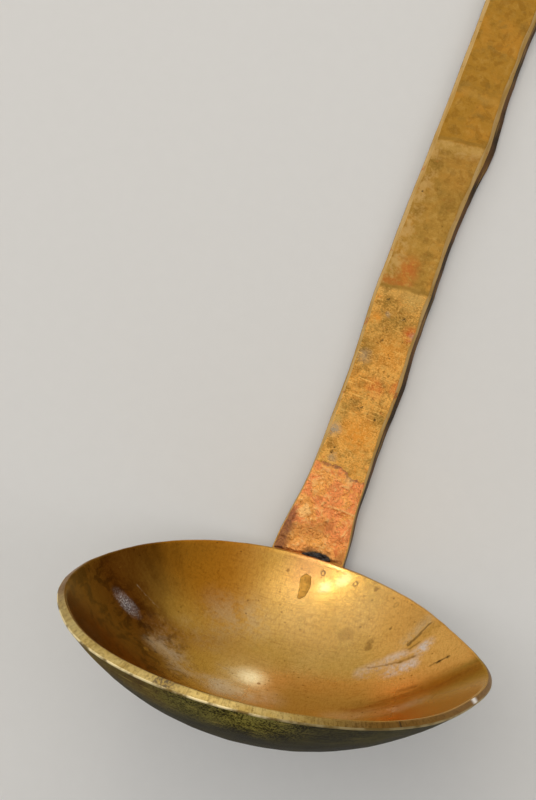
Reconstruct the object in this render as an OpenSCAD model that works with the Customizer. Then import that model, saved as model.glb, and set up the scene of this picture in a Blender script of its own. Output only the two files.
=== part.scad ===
// Brass ladle: a round bowl with a forged strap handle riveted and brazed behind its rim.
// Sizes in millimetres. The ladle lies on the flat back of its handle, which runs along +Y
// to the hanging eye, and the bowl stands at the other end with its mouth leaning up.

/* [Bowl] */
// Outer diameter across the rim
bowl_d = 108; // [90:0.5:140]
// Outer depth from the rim down to the underside
bowl_depth = 22.7; // [16:0.1:36]
// Fullness of the wall: 2 is a plain dish, more gives steeper sides
bowl_fullness = 2.6; // [2:0.1:3.4]
// Wall thickness at the middle of the bowl
wall_t = 2.4; // [1.6:0.1:4]
// Mean thickness of the rim
rim_t = 2.3; // [2:0.1:4]
// How much the rim gains on its thick side and loses on its thin side
rim_swing = 0.5; // [0:0.1:1]
// Bearing of the rim's thick side, from the handle round to the right
rim_thick_at = 208; // [0:1:359]
// Width of the dulled edges of the rim
rim_ease = 0.3; // [0.2:0.05:0.5]

/* [Hand wrought rim] */
// How far the pouring lip is pulled out of the rim
lip_pull = 2.9; // [0:0.1:5]
// Bearing of the pouring lip, from the handle round to the right
lip_at = 81; // [50:1:130]
// Spread of the pouring lip to each side, in degrees
lip_spread = 16; // [10:1:24]
// Rise and fall of the rim
rim_warp = 1.1; // [0:0.05:1.5]
// Bearing of the rim's high side
rim_warp_at = -8; // [-90:1:90]

/* [Handle] */
// Length from the rim to the tip
handle_len = 280; // [220:1:340]
// Width across the bar
handle_w = 16; // [12:0.5:20]
// Thickness of the bar
handle_t = 4; // [3:0.1:6]
// Width where the handle meets the rim
root_w = 20; // [16:0.5:26]
// Length of the root, which narrows to the bar and carries the braze's run
root_len = 28; // [22:1:40]
// Width of the bevels along the front edges
bevel_w = 1.3; // [0.6:0.1:2]
// Height of those bevels
bevel_h = 0.9; // [0.4:0.1:1.5]
// Draft of the sides, so that the back is wider than the front
side_draft = 0.5; // [0:0.1:1]
// Width of the broken edges along the back
back_ease = 0.5; // [0.2:0.1:1]
// Angle between the bar and the plane of the rim
handle_pitch = 70; // [62:1:78]
// Sideways lean of the bar
handle_lean = 6; // [0:0.5:9]
// Sideways sway of the bar along its length
handle_sway = 1; // [0:0.1:2]
// How much further out the right side stands at the back
side_lean = 0.6; // [0:0.1:1]
// Hollow of each hammered panel on the front
panel_dish = 0.35; // [0:0.05:0.6]
// Waist of each hammered panel at the edges
panel_waist = 0.3; // [0:0.05:0.6]

/* [Hanging eye] */
// Width of the rounded tip
tip_w = 18; // [15:0.5:24]
// Diameter of the hanging hole
hole_d = 6; // [4:0.5:8]
// Distance of the hole's centre from the tip
hole_inset = 11; // [8:0.5:15]

/* [Foot and rivet] */
// How far the foot runs in under the bowl from the rim
foot_reach = 18; // [13:1:26]
// Thickness of the foot at its end
foot_end_t = 1.8; // [1:0.1:3]
// Width of the flat rivet
rivet_w = 3.6; // [2.5:0.1:5]
// Length of the flat rivet, down the wall
rivet_l = 8.6; // [6:0.1:10]
// How far in from the rim the rivet stands
rivet_in = 6.5; // [5:0.5:9]
// How far the rivet stands to the right of the middle
rivet_side = 1.6; // [-2:0.1:2]
// How far the rivet's head laps over its hole
head_lap = 1.4; // [0.8:0.1:2]
// Height of the rivet's head
head_t = 1; // [0.6:0.1:1.4]
// Depth of the flat filed for the head on the back of the foot
head_seat = 0.3; // [0.2:0.05:0.5]
// How proud the filed end of the rivet stands inside the bowl
rivet_proud = 0.15; // [0:0.05:0.3]

/* [Braze] */
// Thickness of the brazed film between foot and wall
braze_t = 0.3; // [0.2:0.05:0.5]
// Width of the brazed fillet round the foot
fillet_w = 1.2; // [0.8:0.1:2]
// Thickness of the braze that has run up the front of the root
wash_t = 0.3; // [0.2:0.05:0.5]
// Thickness of the flux bead in the corner of rim and handle
bead_d = 2.4; // [1.6:0.1:3]
// Length of the flux bead
bead_l = 8; // [5:0.5:12]
// How far the flux bead lies to the right of the middle
bead_side = 2.2; // [-4:0.2:4]

/* [Hidden] */
$fn = 48;

// The bowl is worked out in its own frame: rim at z = 0, opening up, handle towards +y.
bowl_r = bowl_d / 2;
bowl_sides = 90;
outer_rings = 10;
inner_rings = 8;
rim_hold = 4; // how fast the rim's unevenness dies away down the wall

// The hammered panels end at these distances from the rim, as far as the bar reaches.
tip_len = 25;
panel_marks = [root_len, 77, 119, 165, 211, 250];
panel_ends = [for (s = panel_marks) if (s <= handle_len - tip_len) s];
panel_steps = 6;
cup_len = 14; // the root's cupping to the rim dies away over this length
root_stations = [1, 3, 6, 10, cup_len, (cup_len + root_len) / 2];
sway_from = 33;
sway_half = 132; // half a wave of the sway
sway_fade = 50;
// Where the forged edges wander: place along the bar, spread, shift to the right of the left edge,
// of the right edge and of the right side's back.
edge_swells = [[50, 11, 0.3, 0.7, 0.3], [120, 14, 0.6, 0.9, 0.8]];
foot_round = 2.5; // how square the foot's rounded end is
foot_taper = 0.55; // the foot keeps its thickness up to here
foot_stations = [0.985, 0.93, 0.84, 0.72, 0.55, 0.36, 0.18, 0];
foot_back = braze_t + handle_t; // from the wall to the back of the foot
head_foot = foot_back - head_seat; // from the wall to the rivet's head
across = [-1, -0.5, 0, 0.5, 1]; // places of a section's points, as shares of its half width
flat = [0 : len(across) - 1]; // indices of the points along the front of a section
bevel_keep = 0.5; // the bevels shrink where the bar is narrower than this share of its width
tip_turn = 12; // degrees between the sections of the rounded tip
bead_turn = 80; // degrees to each side over which the flux bead's ends round off
bead_clear = 3; // degrees between the bead and each side of its corner
bead_steps = 8;

middle = handle_len / 2; // the origin lies under this point of the bar
thin = 0.12; // thickness of a feathered edge
film_clear = 0.06; // keeps the braze's film off the flats of the wall
foot_drop = 0.9; // height up the foot's sides to which the fillet climbs
rim_root = wall_out(1, 0);

function ease(x) = let (c = max(0, min(1, x))) c * c * (3 - 2 * c);

// Wall of the bowl. q runs from 0 at the bottom to 1 at the rim, b is the bearing.
function wall_slope(q) = atan(bowl_depth * bowl_fullness * pow(q, bowl_fullness - 1) / bowl_r);
function rim_out(b) =
    let (away = abs(b - lip_at), turn = min(away, 360 - away))
    lip_pull * exp(-pow(turn / lip_spread, 2));
function rim_rise(b) = rim_warp * cos(2 * (b - rim_warp_at));
function wall_out(q, b) =
    let (hold = pow(q, rim_hold), r = bowl_r * q + rim_out(b) * hold)
    [r * sin(b), r * cos(b), rim_rise(b) * hold - bowl_depth * (1 - pow(q, bowl_fullness))];
function wall_normal(q, b) =
    let (a = wall_slope(q))
    [sin(a) * sin(b), sin(a) * cos(b), -cos(a)];
function wall_thick(q, b) =
    wall_t + (rim_t + rim_swing * cos(b - rim_thick_at) - wall_t) * pow(q, rim_hold);
function wall_at(q, b, out) = wall_out(q, b) + out * wall_normal(q, b);

// A point of the bowl's frame, laid down with the ladle on the back of its handle.
function lay(p) =
    let (
        d = p - rim_root,
        y = d.y * cos(handle_pitch) + d.z * sin(handle_pitch),
        z = d.z * cos(handle_pitch) - d.y * sin(handle_pitch)
    )
    [
        d.x * cos(handle_lean) - y * sin(handle_lean),
        d.x * sin(handle_lean) + y * cos(handle_lean) - middle,
        z + handle_t + braze_t
    ];

module lay_down() {
    translate([0, -middle, handle_t + braze_t])
        rotate([0, 0, handle_lean])
            rotate([-handle_pitch, 0, 0])
                translate(-rim_root)
                    children();
}

// Solid through closed rings of equally many points, an even number. The sides' faces
// are split along one diagonal or the other, so that two lofts can share a face, and
// each end is closed by a strip from the ring's first half to its second.
module loft(rings, slant = true) {
    m = len(rings[0]);
    z = (len(rings) - 1) * m;
    sides = [
        for (a = [0 : m : z - m], j = [0 : m - 1])
            let (k = (j + 1) % m)
            each slant
                ? [[a + j, a + m + k, a + k], [a + j, a + m + j, a + m + k]]
                : [[a + j, a + m + j, a + k], [a + k, a + m + j, a + m + k]]
    ];
    ends = [
        for (j = [0 : m / 2 - 2])
            let (k = m - 1 - j)
            each [
                [j, j + 1, k - 1], [j, k - 1, k],
                [z + j, z + k - 1, z + j + 1], [z + j, z + k, z + k - 1]
            ]
    ];
    polyhedron([for (ring = rings) each ring], concat(sides, ends));
}

// Bowl
module bowl_blank() {
    rim_q = 1 - rim_ease / bowl_r;
    outer = [for (i = [1 : outer_rings - 1]) i / outer_rings];
    inner = [for (i = [inner_rings - 1 : -1 : 1]) i / inner_rings];
    bearings = [for (i = [0 : bowl_sides - 1]) 360 * i / bowl_sides];
    loft(
        concat(
            [for (q = concat(outer, [rim_q])) [for (b = bearings) wall_out(q, b)]],
            [[for (b = bearings) wall_at(1, b, -rim_ease)]],
            [[for (b = bearings) wall_at(1, b, rim_ease - wall_thick(1, b))]],
            [for (q = concat([rim_q], inner)) [for (b = bearings) wall_at(q, b, -wall_thick(q, b))]]
        )
    );
}

// Handle. s is the distance from the rim along the bar, x is measured across it.
function panel_wave(s) =
    let (i = [for (k = [0 : len(panel_ends) - 2]) if (s > panel_ends[k] && s < panel_ends[k + 1]) k])
    len(i) == 0 ? 0 : sin(180 * (s - panel_ends[i[0]]) / (panel_ends[i[0] + 1] - panel_ends[i[0]]));
function sway(s) =
    -handle_sway * sin(180 * (s - sway_from) / sway_half)
    * ease(s / sway_from) * ease((handle_len - tip_len - s) / sway_fade);
function swell_column(k) = [for (e = edge_swells) e[k]];
function wander(s, x, depth) =
    let (
        near = [for (e = edge_swells) exp(-pow((s - e[0]) / e[1], 2))],
        lean = side_lean * ease((s - root_len / 2) / root_len) * ease((handle_len - tip_len - s) / sway_fade),
        left = near * swell_column(2),
        right = near * swell_column(3) + depth / handle_t * (lean + near * swell_column(4))
    )
    left + (right - left) * (x / handle_w + 0.5);
function bar_half(s) =
    let (
        plain = handle_w / 2 - panel_waist * panel_wave(s)
            + (root_w - handle_w) / 2 * (1 - ease(s / root_len))
            + (tip_w - handle_w) / 2 * ease((s - handle_len + tip_len + tip_w / 2) / tip_len),
        past = s - handle_len + tip_w / 2
    )
    past > 0 ? min(plain, sqrt(max(0, pow(tip_w / 2, 2) - past * past))) : plain;
function bar_point(s, x, depth) =
    let (
        root = 1 - ease(s / cup_len),
        sag = root * (bowl_r - sqrt(bowl_r * bowl_r - x * x)),
        dish = depth > 0 ? 0 : panel_dish * panel_wave(s)
    )
    [
        x + sway(s) + wander(s, x, depth),
        s - middle - sag * cos(handle_pitch) + root * x * sin(handle_lean),
        handle_t - depth - dish + sag * sin(handle_pitch)
    ];

// The foot follows the wall. f runs from 0 at the rim to 1 at the foot's end.
function foot_q(f) = 1 - f * foot_reach / bowl_r;
function foot_half(f) = root_w / 2 * sqrt(1 - pow(f, foot_round));
function foot_thick(f) = handle_t + (foot_end_t - handle_t) * ease((f - foot_taper) / (1 - foot_taper));
function foot_point(f, x, out) = lay(wall_at(foot_q(f), asin(x / (bowl_r * foot_q(f))), out));

// Section of the strap as pairs of distance across and depth below the front. The front
// is narrowed by the bevel and the draft, and the sides start at the given drop.
function strap_section(half, thick, bevel, draft, drop) =
    concat(
        [for (a = across) [a * (half - bevel - draft), 0]],
        [[half - draft, drop], [half, thick - back_ease]],
        [for (a = across) [a * (back_ease - half), thick]],
        [[-half, thick - back_ease], [draft - half, drop]]
    );
function foot_section(f) = strap_section(foot_half(f), foot_thick(f), thin, thin, foot_drop);
function bar_section(s) =
    let (half = bar_half(s), k = ease(s / cup_len) * min(1, 2 * half / (bevel_keep * handle_w)))
    strap_section(
        half, handle_t,
        max(thin, k * bevel_w), max(thin, k * side_draft), bevel_h + (1 - k) * (foot_drop - bevel_h)
    );
function bar_ring(s) = [for (p = bar_section(s)) bar_point(s, p.x, p.y)];

module handle_blank() {
    tip_from = handle_len - tip_w / 2;
    last = panel_ends[len(panel_ends) - 1];
    panels = [
        for (k = [0 : len(panel_ends) - 2], i = [0 : panel_steps - 1])
            panel_ends[k] + (panel_ends[k + 1] - panel_ends[k]) * i / panel_steps
    ];
    neck = [for (i = [0 : 0.25 : 1]) last + (tip_from - last) * i];
    tip = [for (a = [tip_turn : tip_turn : 90 - tip_turn / 2]) tip_from + tip_w / 2 * sin(a)];
    loft(
        concat(
            [for (f = foot_stations) [for (p = foot_section(f)) foot_point(f, p.x, braze_t + p.y)]],
            [for (s = concat(root_stations, panels, neck, tip)) bar_ring(s)]
        )
    );
}

// Flat rivet. Its frame stands on the wall's outer face, with z out of the bowl and y down the wall.
module at_rivet() {
    q = 1 - rivet_in / bowl_r;
    lay_down()
        translate(wall_out(q, 0))
            rotate([180 + wall_slope(q), 0, 0])
                translate([rivet_side, 0, 0])
                    children();
}

module slot(lap, from, to) {
    translate([0, 0, from])
        linear_extrude(to - from) {
            square([rivet_w + 2 * lap, rivet_l - rivet_w], center = true);
            for (end = [-1, 1])
                translate([0, end * (rivet_l - rivet_w) / 2])
                    circle(d = rivet_w + 2 * lap);
        }
}

module bowl() {
    color("goldenrod")
        difference() {
            lay_down() bowl_blank();
            at_rivet() slot(0, -2 * rim_t, foot_back);
        }
}

module handle() {
    color("darkgoldenrod")
        difference() {
            handle_blank();
            at_rivet() {
                slot(0, -rim_t, foot_back);
                slot(head_lap, head_foot, foot_back + head_t);
            }
            translate([0, handle_len - hole_inset - middle, -handle_t])
                cylinder(d = hole_d, h = 3 * handle_t);
        }
}

module foot_rivet() {
    inside = wall_thick(1 - rivet_in / bowl_r, 0) + rivet_proud;
    color("peru")
        at_rivet() {
            slot(0, -inside, head_foot + head_t);
            slot(head_lap, head_foot, head_foot + head_t / 2);
            slot(head_lap - head_t / 2, head_foot, head_foot + head_t);
        }
}

// Ring of the film at f, from the wall's side to the given points of distance across and height.
function film_ring(f, top) =
    let (n = len(top) - 1)
    concat(
        [for (i = [0 : n]) foot_point(f, top[i].x, film_clear)],
        [for (i = [n : -1 : 0]) foot_point(f, top[i].x, top[i].y)]
    );

// Braze: a film under the foot with a fillet round it, and a run up the front of the root.
module braze_seam() {
    film = [
        for (f = foot_stations)
            let (section = foot_section(f), side = section[len(across)], wide = foot_half(f) + fillet_w)
            concat(
                [[-wide, film_clear + thin], [-side.x, braze_t + side.y]],
                [for (j = flat) [section[j].x, braze_t]],
                [[side.x, braze_t + side.y], [wide, film_clear + thin]]
            )
    ];
    last = 1 + fillet_w / foot_reach;
    tail = [for (a = [-1 : 0.25 : 1]) [a * fillet_w, film_clear + thin]];
    color("chocolate")
        difference() {
            loft(
                concat(
                    [film_ring(last, tail)],
                    [for (i = [0 : len(foot_stations) - 1]) film_ring(foot_stations[i], film[i])]
                ),
                slant = false
            );
            at_rivet() slot(0, -2 * rim_t, foot_back);
        }
}

module braze_wash() {
    stations = concat(root_stations, [root_len]);
    rings = [
        for (s = stations)
            let (
                section = bar_section(s),
                face = [for (j = flat) bar_point(s, section[j].x, 0)],
                crown = s < root_len ? wash_t : thin
            )
            concat(
                [for (j = flat) face[j] + [0, 0, abs(across[j]) < 1 ? crown : thin]],
                [for (j = flat) face[len(across) - 1 - j]]
            )
    ];
    color("sienna")
        loft(rings, slant = false);
}

// Flux bead: a rounded fill of the corner between the rim's face and the braze's run.
module flux_bead() {
    corner_angle = 90 - handle_pitch + wall_slope(1);
    rings = [
        for (i = [0 : bead_steps])
            let (
                a = bead_turn * (2 * i / bead_steps - 1),
                x = bead_side + bead_l / 2 * sin(a),
                corner = lay(wall_out(1, asin(x / bowl_r)))
            )
            concat(
                [corner + thin * [0, cos(corner_angle / 2), sin(corner_angle / 2)]],
                [
                    for (k = [0 : 0.25 : 1])
                        let (t = bead_clear + k * (corner_angle - 2 * bead_clear))
                        corner + bead_d * cos(a) * [0, cos(t), sin(t)]
                ]
            )
    ];
    color("black")
        loft(rings);
}

bowl();
handle();
foot_rivet();
braze_seam();
braze_wash();
flux_bead();
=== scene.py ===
import math

import bmesh
import bpy
from mathutils import Matrix, Vector, noise


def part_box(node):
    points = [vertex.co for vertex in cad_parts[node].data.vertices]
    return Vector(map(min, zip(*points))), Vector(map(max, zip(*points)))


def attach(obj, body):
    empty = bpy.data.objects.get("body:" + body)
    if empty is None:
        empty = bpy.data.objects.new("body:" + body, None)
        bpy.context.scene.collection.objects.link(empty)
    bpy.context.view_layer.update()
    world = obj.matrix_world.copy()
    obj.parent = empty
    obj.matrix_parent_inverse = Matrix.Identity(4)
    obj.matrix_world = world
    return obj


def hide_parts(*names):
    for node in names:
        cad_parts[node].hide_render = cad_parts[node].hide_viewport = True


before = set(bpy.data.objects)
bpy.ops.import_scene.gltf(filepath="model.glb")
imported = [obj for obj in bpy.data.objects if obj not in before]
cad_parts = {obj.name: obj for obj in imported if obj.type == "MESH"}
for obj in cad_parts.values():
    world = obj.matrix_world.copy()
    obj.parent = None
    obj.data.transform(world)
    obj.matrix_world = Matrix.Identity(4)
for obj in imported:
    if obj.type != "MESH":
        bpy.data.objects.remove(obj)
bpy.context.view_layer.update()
print("frame loaded:", ", ".join(sorted(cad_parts)))

weld = 1e-7  # points closer than this are merged
milli = 1000  # finishes work in millimetres
# Forms are in metres and degrees. Bearings run round the bowl from the handle to the right.
bowlForm = {
    "radius": 0.054,
    "depth": 0.0227,
    "fullness": 2.6,  # 2 is a plain dish, more gives steeper sides
    "wall": 0.0024,
    "rim": 0.0023,
    "rimSwing": 0.0005,  # what the rim gains on its thick side
    "rimThickAt": 208,
    "rimHold": 4,  # how fast the rim's unevenness dies away down the wall
    "lipPull": 0.00285,
    "lipAt": 81,
    "lipSpread": 16,
    "warp": 0.0011,
    "warpAt": -8,
    "dents": (  # bearing, spread, how far the rim is pushed in and how far down
        (300, 17, 0.0, 0.0005),
        (246, 13, 0.0005, 0.0),
        (52, 9, 0.0003, 0.0001),
    ),
}
strapForm = {
    "length": 0.28,
    "width": 0.016,
    "thick": 0.004,
    "rootWidth": 0.02,
    "rootLength": 0.028,
    "cup": 0.014,  # length over which the root's cupping to the rim dies away
    "bevelWidth": 0.00085,
    "bevelHeight": 0.00045,
    "draft": 0.0003,
    "backEase": 0.0005,
    "pitch": 70,
    "lean": 6,
    "sway": 0.001,
    "swayFrom": 0.033,
    "swayHalf": 0.132,
    "swayFade": 0.05,
    "sideLean": 0.0006,  # how much further out the right side stands at the back
    "swells": (  # where, spread, shift of the left edge, of the right edge and of the right side's back
        (0.05, 0.011, 0.0003, 0.0007, 0.0003), (0.12, 0.014, 0.0006, 0.0009, 0.0008),
    ),
    "tipWidth": 0.018,
    "tipLength": 0.025,
    "holeInset": 0.011,
    "holeRadius": 0.003,
    "holeFlare": 0.0006,
    "holeSides": 64,
    "dish": 0.00035,  # hollow of each hammered panel
    "waist": 0.0003,
    "marks": (0.028, 0.077, 0.119, 0.165, 0.211, 0.25),  # where the panels meet
    "ridges": (  # raised lines across the strap: where, how far out of square and how strong
        (0.0759, 0.13, 1.0), (0.1184, 0.13, 1.0), (0.1333, -0.06, 0.45),
        (0.165, -0.1, 1.0), (0.211, 0.12, 1.0),
    ),
    "footReach": 0.018,
    "footRound": 2.5,
    "footTaper": 0.55,
    "footEnd": 0.0018,
    "footLast": 0.985,  # share of the foot's reach where its end is closed
    "footDrop": 0.0009,
    "braze": 0.0003,
    "thin": 0.00012,
}


def ease(x):  # from 0 to 1 with soft ends
    c = max(0.0, min(1.0, x))
    return c * c * (3 - 2 * c)


def wallSlope(q):  # q runs from 0 at the bottom of the bowl to 1 at the rim
    form = bowlForm
    return math.atan(form["depth"] * form["fullness"] * q ** (form["fullness"] - 1) / form["radius"])


def bulge(bearing, at, spread):  # 1 at one bearing, dying away to both sides
    turn = (math.degrees(bearing) - at + 180) % 360 - 180
    return math.exp(-((turn / spread) ** 2))


def wallOut(q, bearing):  # a point of the bowl's plain outside
    form = bowlForm
    out = form["lipPull"] * bulge(bearing, form["lipAt"], form["lipSpread"])
    rise = form["warp"] * math.cos(2 * (bearing - math.radians(form["warpAt"])))
    for at, spread, inwards, down in form["dents"]:
        out -= inwards * bulge(bearing, at, spread)
        rise -= down * bulge(bearing, at, spread)
    hold = q ** form["rimHold"]
    reach = form["radius"] * q + out * hold
    height = rise * hold - form["depth"] * (1 - q ** form["fullness"])
    return Vector((reach * math.sin(bearing), reach * math.cos(bearing), height))


def wallNormal(q, bearing):
    a = wallSlope(q)
    return Vector((math.sin(a) * math.sin(bearing), math.sin(a) * math.cos(bearing), -math.cos(a)))


def wallRise(q, bearing):  # up the wall, towards the rim
    a = wallSlope(q)
    return Vector((math.cos(a) * math.sin(bearing), math.cos(a) * math.cos(bearing), math.sin(a)))


def wallThick(q, bearing):
    form = bowlForm
    rim = form["rim"] + form["rimSwing"] * math.cos(bearing - math.radians(form["rimThickAt"]))
    return form["wall"] + (rim - form["wall"]) * q ** form["rimHold"]


def wallAt(q, bearing, out):  # the same, moved out from the wall
    return wallOut(q, bearing) + out * wallNormal(q, bearing)


# The bowl is worked out with its rim level, and layDown lays the ladle on the back of its handle.
layDown = (
    Matrix.Translation((0, -strapForm["length"] / 2, strapForm["thick"] + strapForm["braze"]))
    @ Matrix.Rotation(math.radians(strapForm["lean"]), 4, "Z")
    @ Matrix.Rotation(-math.radians(strapForm["pitch"]), 4, "X")
    @ Matrix.Translation(-wallOut(1, 0))
)
inBowl = layDown.inverted()  # from the ladle's frame to the bowl's own


def wobble(place, size, height):  # soft bumps
    return height * noise.noise(place / size)


def blows(place, size, depth):  # shallow dimples side by side, as a round hammer leaves them
    nearest = noise.voronoi(place / size)[0][0]
    return depth * (min(1.0, nearest) ** 2 - 1)


# Shader maths: a Wire is a socket that can be added, multiplied and so on through Math nodes.
class Wire:
    def __init__(self, finish, socket):
        self.finish = finish
        self.socket = socket

    def pair(self, operation, first, second):
        return self.finish.node("ShaderNodeMath", {"operation": operation}, {0: first, 1: second})

    def __pow__(self, other):
        return self.pair("POWER", self, other)

    def __abs__(self):
        return self.pair("ABSOLUTE", self, 0.0)

    def most(self, other):
        return self.pair("MAXIMUM", self, other)

    def least(self, other):
        return self.pair("MINIMUM", self, other)

    def step(self, low, high):  # 0 below low and 1 above high, or the other way round
        edges = {0: self, 1: min(low, high), 2: max(low, high)}
        risen = self.finish.node("ShaderNodeMapRange", {"interpolation_type": "SMOOTHSTEP"}, edges)
        return risen if low < high else 1 - risen


def addOperator(name, operation):
    setattr(Wire, "__%s__" % name, lambda first, second: first.pair(operation, first, second))
    setattr(Wire, "__r%s__" % name, lambda second, first: second.pair(operation, first, second))


for operator in (("add", "ADD"), ("sub", "SUBTRACT"), ("mul", "MULTIPLY"), ("truediv", "DIVIDE")):
    addOperator(*operator)


class Finish:  # one material: its tones by name, and the colour that its coats have built up so far
    def __init__(self, name, tones, turn=None):
        self.material = bpy.data.materials.new(name)
        self.material.use_nodes = True
        self.tree = self.material.node_tree
        self.tree.nodes.clear()
        self.tones = tones
        self.colour = None
        # place on the ladle in millimetres, in another frame if a matrix is given
        sockets = {"Vector": self.node("ShaderNodeTexCoord", out=3), "Scale": (milli, milli, milli)}
        if turn:
            sockets |= {"Location": turn.to_translation() * milli, "Rotation": turn.to_euler()}
        self.place = self.node("ShaderNodeMapping", {"vector_type": "POINT"}, sockets)

    def node(self, kind, settings=None, sockets=None, out=0):
        made = self.tree.nodes.new(kind)
        for key, value in (settings or {}).items():
            setattr(made, key, value)
        for key, value in (sockets or {}).items():
            if isinstance(value, Wire):
                self.tree.links.new(value.socket, made.inputs[key])
            else:
                made.inputs[key].default_value = value
        return Wire(self, made.outputs[out]) if made.outputs else made

    def parts(self):
        split = self.node("ShaderNodeSeparateXYZ", None, {0: self.place})
        return [Wire(self, socket) for socket in split.socket.node.outputs]

    def stretched(self, *scale):
        return self.node("ShaderNodeVectorMath", {"operation": "MULTIPLY"}, {0: self.place, 1: scale})

    def joined(self, x, y):
        return self.node("ShaderNodeCombineXYZ", None, {0: x, 1: y})

    def cloud(self, size, place=None, detail=3.0, rough=0.55, twist=0.0):  # soft noise from 0 to 1
        grain = {"Scale": 1 / size, "Detail": detail, "Roughness": rough, "Distortion": twist}
        place = {"Vector": place or self.place}
        return self.node("ShaderNodeTexNoise", {"noise_dimensions": "3D"}, place | grain)

    def cells(self, size):
        return self.node("ShaderNodeTexVoronoi", None, {"Vector": self.place, "Scale": 1 / size})

    def blend(self, factor, first, second, how="MIX"):
        sockets = {0: factor}
        for key, value in ((6, first), (7, second)):
            tone = self.tones[value] if isinstance(value, str) else value
            sockets[key] = (*tone, 1) if isinstance(tone, tuple) else tone
        return self.node("ShaderNodeMix", {"data_type": "RGBA", "blend_type": how}, sockets, out=2)

    def base(self, factor, first, second):
        self.colour = self.blend(factor, first, second)

    def coat(self, factor, tone, how="MIX"):  # lays one more tone over the colour
        self.colour = self.blend(factor, self.colour, tone, how)

    def turn(self, x, y):  # angle round the bowl in radians, 0 opposite the handle
        return self.node("ShaderNodeMath", {"operation": "ARCTAN2"}, {0: x, 1: 0 - y})

    def away(self, x, y, centre=(0.0, 0.0)):  # distance from a point
        across = x - centre[0]
        along = y - centre[1]
        return (across * across + along * along) ** 0.5

    def spot(self, x, y, mark, soft):  # 1 inside a round spot given by its place and size, 0 outside it
        *centre, size = mark
        return self.away(x, y, centre).step(size * (1 + soft), size * (1 - soft))

    def ring(self, x, y, centre, size, line):  # 1 on a circle drawn with a soft line
        return abs(self.away(x, y, centre) - size).step(line, 0.0)

    def stroke(self, x, y, start, end, width):  # 1 along a straight mark, 0 beside it
        run = (end[0] - start[0], end[1] - start[1])
        across = x - start[0]
        along = y - start[1]
        share = (across * run[0] + along * run[1]) / (run[0] ** 2 + run[1] ** 2)
        share = self.node("ShaderNodeClamp", None, {0: share})
        return self.away(across - share * run[0], along - share * run[1]).step(width, 0.0)

    def bumps(self, height, distance, strength):
        sockets = {"Height": height, "Distance": distance, "Strength": strength}
        return self.node("ShaderNodeBump", None, sockets)

    def surface(self, rough, normal=None, metal=1.0, more=None):
        sockets = {"Base Color": self.colour, "Roughness": rough, "Metallic": metal}
        if normal:
            sockets["Normal"] = normal
        shader = self.node("ShaderNodeBsdfPrincipled", None, sockets | (more or {}))
        self.node("ShaderNodeOutputMaterial", None, {"Surface": shader})
        return self.material


def addObject(name, data):
    made = bpy.data.objects.new(name, data)
    bpy.context.scene.collection.objects.link(made)
    return made


def meshData(name, mesh):
    data = bpy.data.meshes.new(name)
    mesh.to_mesh(data)
    mesh.free()
    return data


def addPiece(name, mesh, finishes, node, sharp=None):
    bmesh.ops.remove_doubles(mesh, verts=mesh.verts, dist=weld)
    bmesh.ops.recalc_face_normals(mesh, faces=mesh.faces)
    data = meshData(name, mesh)
    for finish in finishes:
        data.materials.append(finish)
    data.shade_smooth()
    if sharp:
        data.set_sharp_from_angle(angle=math.radians(sharp))
    piece = addObject(name, data)
    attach(piece, "root")
    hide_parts(node)
    print("piece:", name, len(data.polygons), "faces")
    return piece


def sheetOf(columns, rows, put, paint=None):  # a flat grid of points, each moved to its own place
    mesh = bmesh.new()
    bmesh.ops.create_grid(mesh, x_segments=columns, y_segments=rows, size=0.5)
    if paint:
        for face in mesh.faces:
            face.material_index = paint(math.floor((face.calc_center_median().x + 0.5) * columns))
    for vert in mesh.verts:
        vert.co = put(round((vert.co.x + 0.5) * columns), round((vert.co.y + 0.5) * rows))
    return mesh


def spun(points, steps):  # a chain of points turned once round the z axis
    mesh = bmesh.new()
    chain = [mesh.verts.new(point) for point in points]
    for first, second in zip(chain, chain[1:]):
        mesh.edges.new((first, second))
    bmesh.ops.spin(
        mesh, geom=mesh.verts[:] + mesh.edges[:], cent=(0, 0, 0), axis=(0, 0, 1),
        angle=2 * math.pi, steps=steps, use_merge=True,
    )
    return mesh


def closeEnds(mesh):
    bmesh.ops.remove_doubles(mesh, verts=mesh.verts, dist=weld)
    open = [edge for edge in mesh.edges if edge.is_boundary]
    made = bmesh.ops.holes_fill(mesh, edges=open, sides=0)["faces"]
    bmesh.ops.triangulate(mesh, faces=made)


def cutAway(piece, cutter, sharp):  # cuts the cutter's shape out of a piece and drops the cutter
    bmesh.ops.recalc_face_normals(cutter, faces=cutter.faces)
    data = meshData("cutter", cutter)
    tool = addObject("cutter", data)
    cut = piece.modifiers.new("cut", "BOOLEAN")
    cut.operation = "DIFFERENCE"
    cut.solver = "EXACT"
    cut.object = tool
    view = bpy.context.evaluated_depsgraph_get()
    done = bpy.data.meshes.new_from_object(piece.evaluated_get(view))
    done.name = piece.name
    piece.modifiers.remove(cut)
    done.set_sharp_from_angle(angle=math.radians(sharp))
    piece.data = done
    bpy.data.objects.remove(tool)
    bpy.data.meshes.remove(data)


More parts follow.
